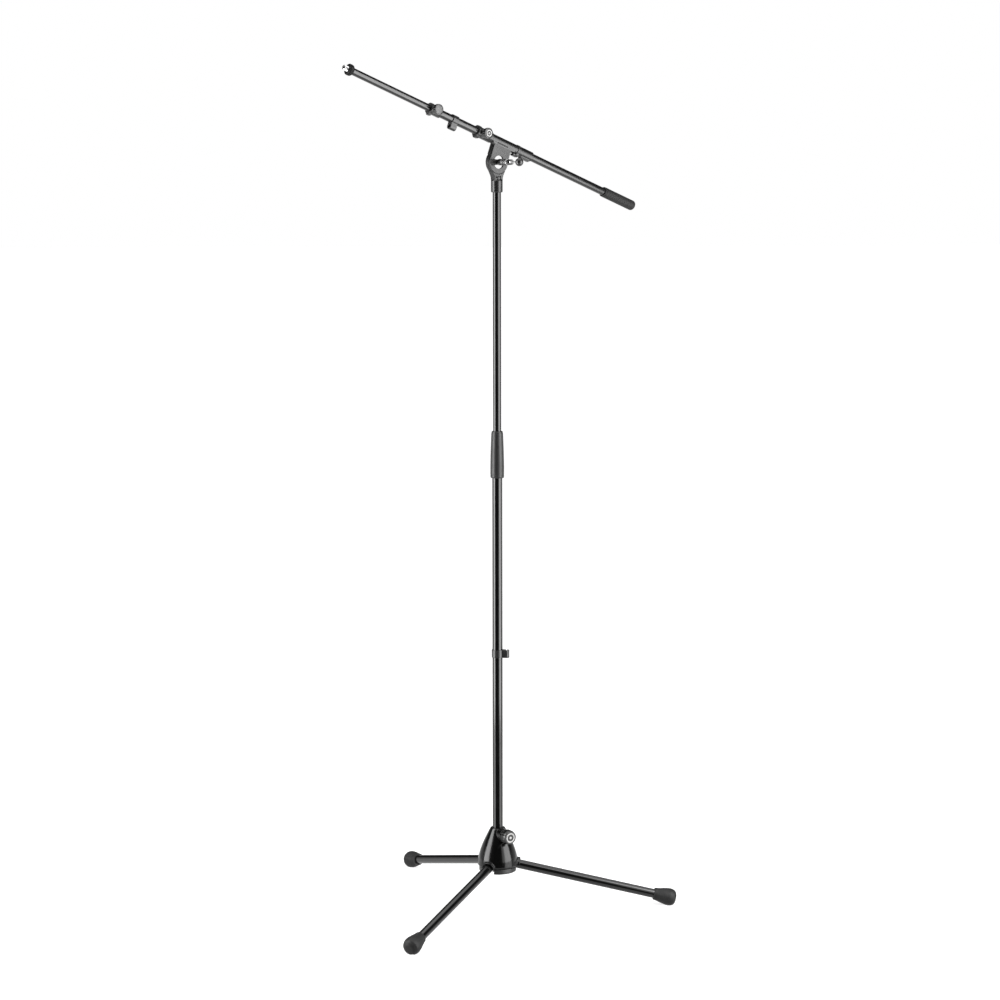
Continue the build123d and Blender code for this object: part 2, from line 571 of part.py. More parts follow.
parts["boom_inner_tube"] = BOOM * tube(rod_x, IN_R, IN_WALL, IN_REAR, IN_FRONT)
parts["inner_tube_plug"] = BOOM * turn_x([
    (0, -79.0), (5.7, -79.0), (6.1, -78.4), (6.1, -76.0), (4.4, -76.0), (4.4, -64.0),
    (IN_R, -64.0), (IN_R, IN_REAR), (IN_IN_R, IN_REAR), (IN_IN_R, -42.0), (0, -42.0)])
parts["inner_tube_guide"] = BOOM * inner_tube_guide()
parts["thread_stud"] = BOOM * turn_x([
    (0, 346.0), (IN_IN_R, 346.0), (IN_IN_R, IN_FRONT), (4.2, IN_FRONT), (4.2, THREAD_START),
    (THREAD_R, THREAD_START), (THREAD_R, THREAD_END - 1.0), (THREAD_R - 1.0, THREAD_END),
    (2.2, THREAD_END), (2.2, THREAD_END - 9.0), (0, THREAD_END - 9.0)])
parts["lock_nut"] = BOOM * lock_nut()

# --- write -----------------------------------------------------------------
os.makedirs("parts", exist_ok=True)
for name, shape in parts.items():
    export_step(shape, f"parts/{name}.step")
print(len(parts), "parts written")
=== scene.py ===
"""Looks of a boom microphone stand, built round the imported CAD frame.

+Z is up. The column stands on the Z axis, over legs at 0, 120 and 240 degrees, and the boom tilts
on a swivel at the column's top. Shapes are in millimetres, in the same frames the CAD uses; meshes
are stored in metres. The studio is in metres.
"""
import json
import math

import bmesh
import bpy
import numpy as np
from mathutils import Matrix, Vector

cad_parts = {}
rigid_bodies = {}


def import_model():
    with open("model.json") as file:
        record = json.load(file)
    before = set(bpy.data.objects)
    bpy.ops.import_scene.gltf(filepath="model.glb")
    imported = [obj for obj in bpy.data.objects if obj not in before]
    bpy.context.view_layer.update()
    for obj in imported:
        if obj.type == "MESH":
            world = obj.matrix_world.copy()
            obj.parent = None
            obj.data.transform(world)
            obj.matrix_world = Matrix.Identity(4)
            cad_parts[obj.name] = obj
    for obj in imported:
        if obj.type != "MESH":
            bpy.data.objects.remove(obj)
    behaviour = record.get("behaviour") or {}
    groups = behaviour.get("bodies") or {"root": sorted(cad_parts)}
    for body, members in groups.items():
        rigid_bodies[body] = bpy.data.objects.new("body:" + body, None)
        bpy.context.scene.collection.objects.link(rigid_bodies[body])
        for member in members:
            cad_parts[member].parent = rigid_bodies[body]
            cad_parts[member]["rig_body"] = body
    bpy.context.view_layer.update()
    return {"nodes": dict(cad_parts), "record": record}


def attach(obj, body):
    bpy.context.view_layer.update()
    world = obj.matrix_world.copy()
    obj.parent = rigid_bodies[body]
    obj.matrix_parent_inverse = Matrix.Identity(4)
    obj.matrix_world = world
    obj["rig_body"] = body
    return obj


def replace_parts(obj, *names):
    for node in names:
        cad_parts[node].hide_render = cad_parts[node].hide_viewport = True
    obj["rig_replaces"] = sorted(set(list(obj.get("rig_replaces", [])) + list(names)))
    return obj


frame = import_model()
NODES = frame["nodes"]
BODY = {name: obj["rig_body"] for name, obj in NODES.items()}
SLOT = {part["node"]: part["material_slot"] for part in frame["record"]["subparts"]
        if "material_slot" in part}
MM = 0.001


# ---------------------------------------------------------------------------
# frames
# ---------------------------------------------------------------------------
def shift(x=0, y=0, z=0):
    return Matrix.Translation((x, y, z))


def turn(degrees, axis):
    return Matrix.Rotation(math.radians(degrees), 4, axis)


SWIVEL_HEIGHT = 1457.7
BOOM_TILT = 19.8        # degrees, the +X end raised
BOOM_RISE = 38          # boom tube axis above the tilt axis
HOLDER_CLAMP_X = 53.5   # along the boom
BOOM_CLAMP_X = 179.5
BASE_KNOB_HEIGHT = 149.5
LEG_ANGLES = (0, 120, 240)
LEG_SLOPE = 13.42       # degrees below level
LEG_ROOT_RADIUS = 28    # from the column axis
LEG_ROOT_HEIGHT = 89.25
FOOT_RADIUS = 335       # from the column axis
FOOT_X = (FOOT_RADIUS - LEG_ROOT_RADIUS) / math.cos(math.radians(LEG_SLOPE))  # along the leg

WORLD = Matrix.Identity(4)
SWIVEL = shift(z=SWIVEL_HEIGHT) @ turn(218, "Z")
BOOM = SWIVEL @ turn(-BOOM_TILT, "Y")
TUBE = BOOM @ shift(z=BOOM_RISE)
HOLDER_CLAMP = TUBE @ shift(x=HOLDER_CLAMP_X)
BOOM_CLAMP = TUBE @ shift(x=BOOM_CLAMP_X)
BASE_KNOB = turn(300, "Z") @ shift(z=BASE_KNOB_HEIGHT)
COLUMN_CLIP = turn(345, "Z")


def leg_frame(angle):
    """X runs down the leg's axis."""
    return turn(angle, "Z") @ shift(LEG_ROOT_RADIUS, 0, LEG_ROOT_HEIGHT) @ turn(LEG_SLOPE, "Y")


# ---------------------------------------------------------------------------
# shader nodes
# ---------------------------------------------------------------------------
def node(tree, kind, output, inputs=None, **settings):
    """Adds a node, sets or links its inputs and returns one of its outputs."""
    made = tree.nodes.new("ShaderNode" + kind)
    for key, value in settings.items():
        setattr(made, key, value)
    for key, value in (inputs or {}).items():
        if isinstance(value, bpy.types.NodeSocket):
            tree.links.new(value, made.inputs[key])
        else:
            made.inputs[key].default_value = value
    return made.outputs[output]


def ramp(tree, value, low, high, start=0, end=1):
    """Maps low..high to start..end, clamped."""
    return node(tree, "MapRange", "Result", {
        "Value": value, "From Min": low, "From Max": high, "To Min": start, "To Max": end})


def noise(tree, coord, scale, detail, rough, seed):
    return node(tree, "TexNoise", "Fac", {
        "Vector": coord, "W": seed, "Scale": scale, "Detail": detail, "Roughness": rough},
        noise_dimensions="4D")


def mix(tree, factor, first, second):
    """Mixes two colours, each an output or an RGB tuple."""
    first, second = ((*c, 1) if isinstance(c, tuple) else c for c in (first, second))
    return node(tree, "Mix", 2, {0: factor, 6: first, 7: second}, data_type="RGBA")


def calc(tree, operation, first, second):
    return node(tree, "Math", 0, {0: first, 1: second}, operation=operation)


# ---------------------------------------------------------------------------
# materials
# ---------------------------------------------------------------------------
def grey(value, warm=0):
    return (value * (1 + warm), value, value * (1 - warm))


def make_material(name, tones, rough, grain, seed, warm=0, metallic=0, specular=0.5, blotch=28,
                  peel=None, cells=0, wear=0.5):
    """Mottled colour, smudged roughness, fine grain, orange-peel bump and wear on raised edges.

    tones: grey of the base, the mottling and the worn edges; warm tints the first two
    rough: mean roughness and its spread
    grain: noise scale, strength and depth in mm
    peel: strength and noise scale of the orange peel
    blotch, cells: scale of the mottling and of a cellular relief
    wear: how strongly the edges are worn
    """
    base_grey, alt_grey, wear_grey = tones
    rough_mean, rough_spread = rough
    grain_scale, grain_strength, grain_depth = grain
    material = bpy.data.materials.new(name)
    material.use_nodes = True
    tree = material.node_tree
    bsdf = tree.nodes["Principled BSDF"]
    coord = node(tree, "TexCoord", "Object")

    mottle = noise(tree, coord, scale=blotch, detail=5, rough=0.6, seed=seed)
    alt = grey(alt_grey, warm)
    colour = mix(tree, ramp(tree, mottle, low=0.36, high=0.66), grey(base_grey, warm), alt)
    speck = noise(tree, coord, scale=grain_scale, detail=3, rough=0.5, seed=seed + 3)
    lighter = tuple(channel * 1.25 + 0.004 for channel in alt)
    speckle = ramp(tree, speck, low=0.60, high=0.74, end=grain_strength * 2)
    colour = mix(tree, speckle, colour, lighter)

    pointiness = node(tree, "NewGeometry", "Pointiness")
    edges = ramp(tree, pointiness, low=0.54, high=0.62)
    patches = noise(tree, coord, scale=160, detail=4, rough=0.65, seed=seed + 7)
    patches = ramp(tree, patches, low=0.40, high=0.62, start=0.25)
    worn = calc(tree, "MULTIPLY", calc(tree, "MULTIPLY", edges, patches), wear)
    colour = mix(tree, worn, colour, grey(wear_grey))
    tree.links.new(colour, bsdf.inputs["Base Color"])

    smudge = noise(tree, coord, scale=75, detail=4, rough=0.6, seed=seed + 11)
    roughness = ramp(tree, smudge, low=0.3, high=0.7,
                     start=rough_mean - rough_spread, end=rough_mean + rough_spread)
    roughness = calc(tree, "ADD", roughness, calc(tree, "MULTIPLY", worn, 0.12))
    tree.links.new(roughness, bsdf.inputs["Roughness"])
    bsdf.inputs["Metallic"].default_value = metallic
    bsdf.inputs["Specular IOR Level"].default_value = specular
    bsdf.inputs["Coat Roughness"].default_value = 0.08

    height = speck
    if cells:
        distance = node(tree, "TexVoronoi", "Distance", {"Vector": coord, "Scale": cells})
        height = calc(tree, "ADD", calc(tree, "MULTIPLY", distance, -0.8), speck)
    relief = {"Strength": grain_strength * 4, "Distance": grain_depth * MM, "Height": height}
    if peel:
        strength, scale = peel
        dimples = noise(tree, coord, scale=scale, detail=2, rough=0.4, seed=seed + 5)
        relief["Normal"] = node(tree, "Bump", "Normal", {
            "Strength": strength, "Distance": 0.12 * MM, "Height": dimples})
    tree.links.new(node(tree, "Bump", "Normal", relief), bsdf.inputs["Normal"])
    return material


FINISHES = {
    "tube_paint": dict(tones=(0.0010, 0.0018, 0.05), rough=(0.12, 0.03),
                       grain=(1800, 0.015, 0.01), peel=(0.05, 260), wear=0.25, seed=1.3),
    "boom_paint": dict(tones=(0.0020, 0.0034, 0.05), rough=(0.24, 0.035),
                       grain=(1800, 0.02, 0.01), peel=(0.05, 260), wear=0.25, seed=2.1),
    "bell_paint": dict(tones=(0.0008, 0.0014, 0.05), rough=(0.17, 0.03), specular=0.33,
                       grain=(1600, 0.015, 0.01), peel=(0.06, 180), wear=0.35, seed=3.7),
    "hub_casting": dict(tones=(0.004, 0.007, 0.05), rough=(0.40, 0.06),
                        grain=(900, 0.10, 0.03), peel=(0.2, 300), seed=4.2),
    "powder_casting": dict(tones=(0.0022, 0.0042, 0.06), rough=(0.26, 0.04), specular=0.44,
                           grain=(1100, 0.12, 0.04), peel=(0.18, 420), cells=900, seed=5.5),
    "black_plastic": dict(tones=(0.0035, 0.006, 0.05), rough=(0.33, 0.05),
                          grain=(1300, 0.10, 0.03), peel=(0.1, 320), seed=6.1),
    "knob_plastic": dict(tones=(0.0015, 0.003, 0.04), rough=(0.27, 0.05),
                         grain=(1500, 0.04, 0.02), peel=(0.06, 320), seed=7.9),
    "ring_cap": dict(tones=(0.24, 0.30, 0.40), warm=0.01, rough=(0.32, 0.06),
                     grain=(1500, 0.06, 0.02), blotch=120, seed=8.4),
    "grey_cap": dict(tones=(0.035, 0.048, 0.10), rough=(0.42, 0.06),
                     grain=(1200, 0.10, 0.03), blotch=90, seed=9.2),
    "rubber": dict(tones=(0.0038, 0.0064, 0.03), rough=(0.54, 0.07), specular=0.24,
                   grain=(900, 0.10, 0.03), peel=(0.12, 240), cells=700, seed=10.6),
    "zinc": dict(tones=(0.62, 0.74, 0.85), rough=(0.18, 0.06), metallic=1,
                 grain=(1200, 0.06, 0.02), seed=11.8),
    "lock_nut": dict(tones=(0.0010, 0.002, 0.03), rough=(0.28, 0.05), specular=0.10,
                     grain=(1300, 0.06, 0.02), wear=0.6, seed=12.9),
    "steel": dict(tones=(0.46, 0.58, 0.72), rough=(0.24, 0.07), metallic=1,
                  grain=(1200, 0.08, 0.02), seed=13.3),
    "nylon": dict(tones=(0.42, 0.50, 0.60), warm=0.02, rough=(0.42, 0.06),
                  grain=(1000, 0.08, 0.03), seed=14.6),
    # one-off finishes, for pieces that differ a little from their slot
    "t_bar_head": dict(tones=(0.065, 0.085, 0.16), rough=(0.40, 0.04), metallic=1,
                       grain=(900, 0.04, 0.01), seed=15.1),
    "clutch_soft": dict(tones=(0.0045, 0.007, 0.04), rough=(0.38, 0.04), specular=0.36,
                        grain=(1000, 0.10, 0.04), peel=(0.12, 260), seed=16.4),
    "t_bar_collar": dict(tones=(0.24, 0.30, 0.40), rough=(0.26, 0.04), metallic=1,
                         grain=(900, 0.03, 0.01), seed=18.6),
    "cap_disc": dict(tones=(0.008, 0.013, 0.05), rough=(0.34, 0.05), specular=0.26,
                     grain=(1400, 0.06, 0.02), seed=17.2),
}
MATS = {name: make_material("m_" + name, **look) for name, look in FINISHES.items()}
MATS["lock_nut_black"] = MATS.pop("lock_nut")  # the slot's own name is longer


def paint(obj, piece, finish=None):
    obj.data.materials.clear()
    obj.data.materials.append(MATS[finish or SLOT[piece]])


# ---------------------------------------------------------------------------
# mesh helpers
# ---------------------------------------------------------------------------
def register(obj, piece, finish=None):
    paint(obj, piece, finish)
    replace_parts(obj, piece)
    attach(obj, BODY[piece])
    return obj


def new_object(name, mesh):
    obj = bpy.data.objects.new(name, mesh)
    bpy.context.scene.collection.objects.link(obj)
    return obj


def mend(mesh, weld=None):
    """Welds points closer than weld metres, if given, and turns the faces outward."""
    edit = bmesh.new()
    edit.from_mesh(mesh)
    if weld:
        bmesh.ops.remove_doubles(edit, verts=edit.verts, dist=weld)
    bmesh.ops.recalc_face_normals(edit, faces=edit.faces)
    edit.to_mesh(mesh)
    edit.free()


def smooth_shade(mesh):
    mesh.polygons.foreach_set("use_smooth", [True] * len(mesh.polygons))


def transformed(points, matrix):
    matrix = np.array(matrix, float)
    return points @ matrix[:3, :3].T + matrix[:3, 3]


def read_points(obj, place):
    """The mesh's points in mm, in the frame place."""
    flat = np.empty(len(obj.data.vertices) * 3, np.float32)
    obj.data.vertices.foreach_get("co", flat)
    return transformed(flat.reshape(-1, 3).astype(float) / MM, place.inverted())


def write_points(obj, points, place):
    flat = (transformed(points, place) * MM).astype(np.float32).ravel()
    obj.data.vertices.foreach_set("co", flat)
    obj.data.update()


def rounded(points, radius, closed, arc):
    """Eases each corner of an outline sharper than 16 degrees with arc + 1 points."""
    out, count = [], len(points)
    for i, corner in enumerate(points):
        corner = np.array(corner, float)
        if not closed and i in (0, count - 1):
            out.append(tuple(corner))
            continue
        back = np.array(points[i - 1], float) - corner
        ahead = np.array(points[(i + 1) % count], float) - corner
        back_len, ahead_len = np.linalg.norm(back), np.linalg.norm(ahead)
        if back_len < 1e-6 or ahead_len < 1e-6:
            continue
        back, ahead = back / back_len, ahead / ahead_len
        angle = math.acos(max(-1.0, min(1.0, float(back @ ahead))))
        if math.pi - angle < math.radians(16):
            out.append(tuple(corner))
            continue
        reach = min(radius / math.tan(angle / 2), 0.42 * back_len, 0.42 * ahead_len)
        start, end = corner + back * reach, corner + ahead * reach
        for k in range(arc + 1):
            t = k / arc
            out.append(tuple((1 - t) ** 2 * start + 2 * t * (1 - t) * corner + t * t * end))
    return out


def densify(points, closed, step):
    out, count = [], len(points)
    for i in range(count if closed else count - 1):
        start, end = np.array(points[i], float), np.array(points[(i + 1) % count], float)
        parts = max(1, int(math.ceil(np.linalg.norm(end - start) / step)))
        out += [tuple(start + (end - start) * j / parts) for j in range(parts)]
    if not closed:
        out.append(tuple(points[-1]))
    return out


def lathe(piece, outline, place=WORLD, axis="Z", segs=96, corner=0.3, step=None, relief=None,
          arc=4):
    """Turned piece from (radius, height) points; it closes on itself unless both ends meet the axis.

    step splits long edges; relief(angles, radii, height) may shift the radii.
    """
    closed = not (outline[0][0] == 0 and outline[-1][0] == 0)
    outline = rounded(outline, corner, closed, arc)
    if step:
        outline = densify(outline, closed, step)
    angles = np.arange(segs) * 2 * math.pi / segs
    points, rows = [], []
    for radius, height in outline:
        if radius <= 1e-9:
            rows.append([len(points)])
            points.append((0, 0, height))
            continue
        radii = np.full(segs, radius)
        if relief is not None:
            radii = relief(angles, radii, height)
        rows.append(list(range(len(points), len(points) + segs)))
        points += [(r * math.cos(t), r * math.sin(t), height) for t, r in zip(angles, radii)]
    faces = []
    for i in range(len(rows) if closed else len(rows) - 1):
        row, after = rows[i], rows[(i + 1) % len(rows)]
        if len(row) == 1 and len(after) == 1:
            continue
        for j in range(segs):
            k = (j + 1) % segs
            if len(row) == 1:
                faces.append((row[0], after[k], after[j]))
            elif len(after) == 1:
                faces.append((row[j], row[k], after[0]))
            else:
                faces.append((row[j], row[k], after[k], after[j]))
    # cycle the coordinates so that the height lies along the chosen axis
    points = np.roll(np.array(points, float), "ZXY".index(axis), axis=1)
    mesh = bpy.data.meshes.new("vis_" + piece)
    mesh.from_pydata((transformed(points, place) * MM).tolist(), [], faces)
    mend(mesh)
    smooth_shade(mesh)
    obj = new_object("vis_" + piece, mesh)
    obj.modifiers.new("normals", "WEIGHTED_NORMAL").weight = 60
    return obj


def turned(piece, outline, *args, finish=None, **options):
    return register(lathe(piece, outline, *args, **options), piece, finish)


def tube(outer, inner, start, end):
    return [(outer, start), (outer, end), (inner, end), (inner, start)]


# True surfaces: each rule moves the points within tol of its surface onto it.
def plane(axis, at):
    column = "XYZ".index(axis)

    def rule(points, tol):
        points[np.abs(points[:, column] - at) < tol, column] = at
    return rule


def cylinder(axis, radius, start, end, centre=(0, 0)):
    """centre holds the two coordinates that follow the axis in cyclic order."""
    column = "XYZ".index(axis)
    i, j = (column + 1) % 3, (column + 2) % 3

    def rule(points, tol):
        across, up = points[:, i] - centre[0], points[:, j] - centre[1]
        distance = np.hypot(across, up)
        along = points[:, column]
        near = (np.abs(distance - radius) < tol) & (along > start) & (along < end)
        factor = np.where(near, radius / np.maximum(distance, 1e-6), 1.0)
        points[:, i] = centre[0] + across * factor
        points[:, j] = centre[1] + up * factor
    return rule


def revolved(outline):
    """A surface turned about Z from (radius, height) points."""
    outline = np.array(outline, float)

    def rule(points, tol):
        flat = np.column_stack([np.hypot(points[:, 0], points[:, 1]), points[:, 2]])
        best = np.full(len(points), 1e9)
        nearest = flat.copy()
        for start, end in zip(outline[:-1], outline[1:]):
            edge = end - start
            t = np.clip(((flat - start) @ edge) / (edge @ edge), 0, 1)
            foot = start + t[:, None] * edge
            gap = np.hypot(*(flat - foot).T)
            closer = gap < best
            best[closer], nearest[closer] = gap[closer], foot[closer]
        near = best < tol
        factor = np.where(near, nearest[:, 0] / np.maximum(flat[:, 0], 1e-6), 1.0)
        points[:, 0] *= factor
        points[:, 1] *= factor
        points[:, 2] = np.where(near, nearest[:, 1], points[:, 2])
    return rule


def snap(obj, place, rules, tol):
    points = read_points(obj, place)
    for rule in rules:
        rule(points, tol)
    write_points(obj, points, place)


def cast(piece, voxel, passes, place=WORLD, rules=(), finish=None, tol=0.12):
    """Casting or moulding: the CAD mesh remeshed finely, corners eased, true faces kept true."""
    mesh = NODES[piece].data.copy()
    mend(mesh, weld=2e-6)
    obj = new_object("vis_" + piece, mesh)
    remesh = obj.modifiers.new("remesh", "REMESH")
    remesh.mode = "VOXEL"
    remesh.voxel_size = voxel * MM
    remesh.use_smooth_shade = True
    ease = obj.modifiers.new("ease", "SMOOTH")
    ease.factor = 0.5
    ease.iterations = passes
    graph = bpy.context.evaluated_depsgraph_get()
    result = bpy.data.meshes.new_from_object(obj.evaluated_get(graph))
    obj.modifiers.clear()
    obj.data = result
    smooth_shade(result)
    if rules:
        snap(obj, place, rules, tol)
    return register(obj, piece, finish)


# ---------------------------------------------------------------------------
# reliefs for turned pieces
# ---------------------------------------------------------------------------
def fade(height, start, end, run_in, run_out):
    """0 outside start..end, rising to 1 over the runs at its ends."""
    return np.clip(min((height - start) / run_in, (end - height) / run_out), 0, 1)


def fluted(count, depth, start, end, ease, outer):
    """Shallow round grip flutes on the surface near the outer radius."""
    def relief(angles, radii, height):
        weight = fade(height, start, end, ease, ease)
        if weight <= 0 or radii[0] < 0.75 * outer:
            return radii
        wave = 0.5 - 0.5 * np.cos(count * angles)
        return radii - depth * weight * (1 - np.minimum(1.0, wave * 2.2))
    return relief


def thread(major, depth, pitch, start, end, run):
    """A real helical thread on the major radius."""
    def relief(angles, radii, height):
        weight = fade(height, start, end, run, run)
        if weight <= 0 or abs(radii[0] - major) > 0.12:
            return radii
        phase = (height / pitch - angles / (2 * math.pi)) % 1.0
        ridge = 1 - np.abs(phase * 2 - 1)
        return radii - depth * weight * np.clip((ridge - 0.12) / 0.76, 0, 1)
    return relief


def knurl(angles, radii, height):
    """Eighteen notches round the lock nut's rim."""
    if radii[0] < 8:
        return radii
    weight = fade(height, 377.8, 386.3, 0.7, 0.5)
    wave = 0.5 + 0.5 * np.cos(18 * angles)
    return radii - 0.72 * weight * np.clip((wave - 0.45) / 0.55, 0, 1)


def emblem(obj, place, axis, face, rings):
    """Pale raised ring and centre dot, beyond face and within rings (from, to); the rest is dark."""
    obj.data.materials.append(MATS["cap_disc"])
    points = read_points(obj, place)
    column = "XYZ".index(axis)
    for poly in obj.data.polygons:
        middle = points[list(poly.vertices)].mean(axis=0)
        radius = math.hypot(*np.delete(middle, column))
        pale = middle[column] > face and any(low < radius < high for low, high in rings)
        poly.material_index = 0 if pale else 1


# ---------------------------------------------------------------------------
# column
# ---------------------------------------------------------------------------
LOWER_RADIUS, LOWER_BORE = 10, 8.8
LOWER_START, LOWER_END = 77, 902
CLIP_BOTTOM, CLIP_TOP = 501, 516

turned("lower_tube", tube(LOWER_RADIUS, LOWER_BORE, LOWER_START, LOWER_END), segs=128)
# (radius, height)
turned("lower_tube_cap", [
    (0, 73.5), (8.6, 73.5), (LOWER_RADIUS, 74.9), (LOWER_RADIUS, LOWER_START),
    (LOWER_BORE, LOWER_START), (LOWER_BORE, 91), (8, 92), (5.5, 92), (5.5, 79), (0, 79)])
turned("upper_tube", tube(outer=8, inner=6.8, start=640, end=1423.5), segs=128)

# (radius, height): up the grooved, tapering outside, then down the bore
CLUTCH_OUTLINE = [
    (12.5, 853.5), (13.3, 855.4), (13.4, 858.6), (13.15, 858.9), (13.15, 859.7), (13.4, 860),
    (13.42, 866), (13.42, 872), (13.38, 878), (13.30, 883), (13.18, 888), (13.03, 896),
    (12.85, 903), (12.66, 909), (12.45, 914), (12.28, 919), (12.1, 924), (11.96, 928),
    (11.8, 932), (11.62, 936), (11.4, 939.5), (10.7, 943), (10, 944), (8.5, 944),
    (8.5, 938.5), (9.2, 937.4), (9.95, 908.5), (10.4, 907.4), (11.32, 901), (11.32, 853.5)]
turned("clutch_grip", CLUTCH_OUTLINE, segs=160, corner=0.5, finish="clutch_soft")

cast("column_cable_clip", 0.3, 5, COLUMN_CLIP, [
    plane("Z", CLIP_BOTTOM), plane("Z", CLIP_TOP), cylinder("Z", 11.4, 495, 520),
    cylinder("Z", 6, 495, 520, centre=(17.5, 0))])

# ---------------------------------------------------------------------------
# base
# ---------------------------------------------------------------------------
LEG_TUBE_RADIUS, LEG_TUBE_BORE = 9, 7.8
LEG_TUBE_START, LEG_TUBE_END = 8, 305
BELL_TOP = 161
# (radius, height) of the bell's outside, before it is stretched
BELL_OUTLINE = [(37.4, 85), (39.1, 86.4), (39.6, 91), (39, 98), (37.4, 106), (35.2, 113.5),
                (32.4, 121), (29.4, 128), (26, 135), (22.4, 142), (19, 148.5)]


def stretched(height):
    """Lengthens the bell above a height of 91 by 70/66."""
    return height if height < 91 else 91 + (height - 91) * 70 / 66


def spline(points, samples=10):
    """Natural cubic by chord length, sampled evenly between each pair of points."""
    points = np.array(points, float)
    spans = np.hypot(*np.diff(points, axis=0).T)
    count = len(points)
    system = np.zeros((count, count))
    target = np.zeros((count, 2))
    system[0, 0] = system[-1, -1] = 1
    for i in range(1, count - 1):
        before, after = spans[i - 1], spans[i]
        system[i, i - 1:i + 2] = before, 2 * (before + after), after
        target[i] = 6 * ((points[i + 1] - points[i]) / after
                         - (points[i] - points[i - 1]) / before)
    bend = np.linalg.solve(system, target)
    out = []
    for i, span in enumerate(spans):
        for done in np.linspace(0, span, samples, endpoint=False):
            left = span - done
            out.append(tuple((bend[i] * left ** 3 + bend[i + 1] * done ** 3) / (6 * span)
                             + (points[i] / span - bend[i] * span / 6) * left
                             + (points[i + 1] / span - bend[i + 1] * span / 6) * done))
    out.append(tuple(points[-1]))
    return out


bell_curve = spline([(radius, stretched(height)) for radius, height in BELL_OUTLINE])
bell_shoulder = [(15.6, stretched(154.6)), (14.4, stretched(156.4)),
                 (13.2, BELL_TOP), (11.2, BELL_TOP)]
# the first samples, round the bottom rim, stay as eased
bell = cast("bell_housing", 0.5, 5, rules=[revolved(bell_curve[4:] + bell_shoulder)], tol=0.30)
snap(bell, BASE_KNOB, [cylinder("X", 12.4, 14, 26.3), plane("X", 27)], tol=0.25)
cast("leg_hub", 0.5, 4, rules=[plane("Z", 74), cylinder("Z", 37, 75, 83.4), plane("Z", 83.8)])


def foot_outline():
    """(radius, distance down the leg): sleeve, flared skirt with fine moulded ribs, round toe."""
    outline = [(0, LEG_TUBE_END), (LEG_TUBE_RADIUS, LEG_TUBE_END)]
    outline += [(radius, FOOT_X + x) for radius, x in (
        (LEG_TUBE_RADIUS, -27), (11.4, -27), (12, -26), (12.3, -22))]
    flare = [(12.3, -22), (13.4, -17), (15.3, -9), (16.6, -2), (17.2, 3)]
    flare_radius, flare_x = np.array(flare).T
    groove = ((0, 0), (0.45, -0.34), (1.05, -0.34), (1.5, 0))  # (along, outward)
    for x in np.arange(FOOT_X - 20.5, FOOT_X + 3, 3.6):
        for along, outward in groove:
            radius = float(np.interp(x + along, FOOT_X + flare_x, flare_radius))
            outline.append((radius + outward, x + along))
    return outline + [(radius, FOOT_X + x) for radius, x in (
        (17.2, 3.6), (16.9, 7.5), (15.4, 12), (12.4, 15.6), (8, 17.4), (0, 18))]


def build_leg(number, angle):
    place = leg_frame(angle)
    cast(f"leg_knuckle_{number}", 0.4, 4, place, [cylinder("X", LEG_TUBE_RADIUS, 0.5, 7.6)],
         finish="black_plastic")
    turned(f"leg_tube_{number}",
           tube(LEG_TUBE_RADIUS, LEG_TUBE_BORE, LEG_TUBE_START, LEG_TUBE_END),
           place, "X", segs=128)
    piece = f"leg_foot_{number}"
    foot = lathe(piece, foot_outline(), place, "X", segs=144, corner=0.5, arc=3)
    points = read_points(foot, WORLD)
    points[:, 2] = np.maximum(points[:, 2], 0.0)  # flat on the floor
    write_points(foot, points, WORLD)
    register(foot, piece)


for number, angle in enumerate(LEG_ANGLES, start=1):
    build_leg(number, angle)

turned("base_clamp_knob", [
    (0, 27.4), (7.5, 27.4), (8.5, 28.2), (9, 30), (13.4, 31), (14, 32.6), (14, 42),
    (12.8, 46.2), (12, 47), (10.2, 47), (10.2, 46), (0, 46)],
    BASE_KNOB, "X", segs=192, corner=0.4, step=0.6,
    relief=fluted(12, depth=0.85, start=31.2, end=45.6, ease=1.2, outer=14))
base_cap = turned("base_knob_cap", [
    (0, 46), (10.15, 46), (10.15, 46.8), (9.4, 46.8), (9.4, 47.35), (6.8, 47.35),
    (6.8, 46.8), (2.6, 46.8), (2.6, 47.3), (0, 47.3)],
    BASE_KNOB, "X", corner=0.2, step=0.4)
emblem(base_cap, BASE_KNOB, "X", face=46.95, rings=((0, 2.7), (6.7, 9.5)))

# ---------------------------------------------------------------------------
# swivel: the tilt axis is Y
# ---------------------------------------------------------------------------
CHEEK_RADIUS = 22
SCREW_RADIUS = 3.93
SCREW_END = 33
PIN_Y = 41.5
BALL_Y, BALL_RADIUS = 66, 7.7

cast("swivel_base", 0.35, 5, SWIVEL, [
    plane("Y", -7), plane("Y", 7), cylinder("Y", CHEEK_RADIUS, -6.6, -0.9),
    cylinder("Z", 11.25, -55, -35.8)])
turned("tilt_washer", [(16, -0.5), (21, -0.5), (21, 0.4), (16, 0.4)], SWIVEL, "Y", corner=0.15)
cast("clamp_bridge", 0.3, 6, SWIVEL, [plane("Y", 6.9), plane("Z", 5), plane("Z", -5)])
turned("t_bar_screw", [(0, -13), (3.4, -13), (SCREW_RADIUS, -12.5), (SCREW_RADIUS, SCREW_END),
                       (0, SCREW_END)],
       SWIVEL, "Y", segs=48, corner=0.1, step=0.16,
       relief=thread(SCREW_RADIUS, depth=0.55, pitch=1.25, start=-12.6, end=33.2, run=0.5))
turned("t_bar_collar", [
    (3.95, 7.05), (6, 7.05), (6.2, 7.6), (6.2, 19.4), (5.95, 19.7), (5.95, 20.3),
    (6.2, 20.6), (6.2, 31.6), (5.6, SCREW_END), (3.95, SCREW_END)],
    SWIVEL, "Y", finish="t_bar_collar")
cast("t_bar_head", 0.2, 5, SWIVEL, [cylinder("Y", 5.4, 34.2, 42)], finish="t_bar_head")
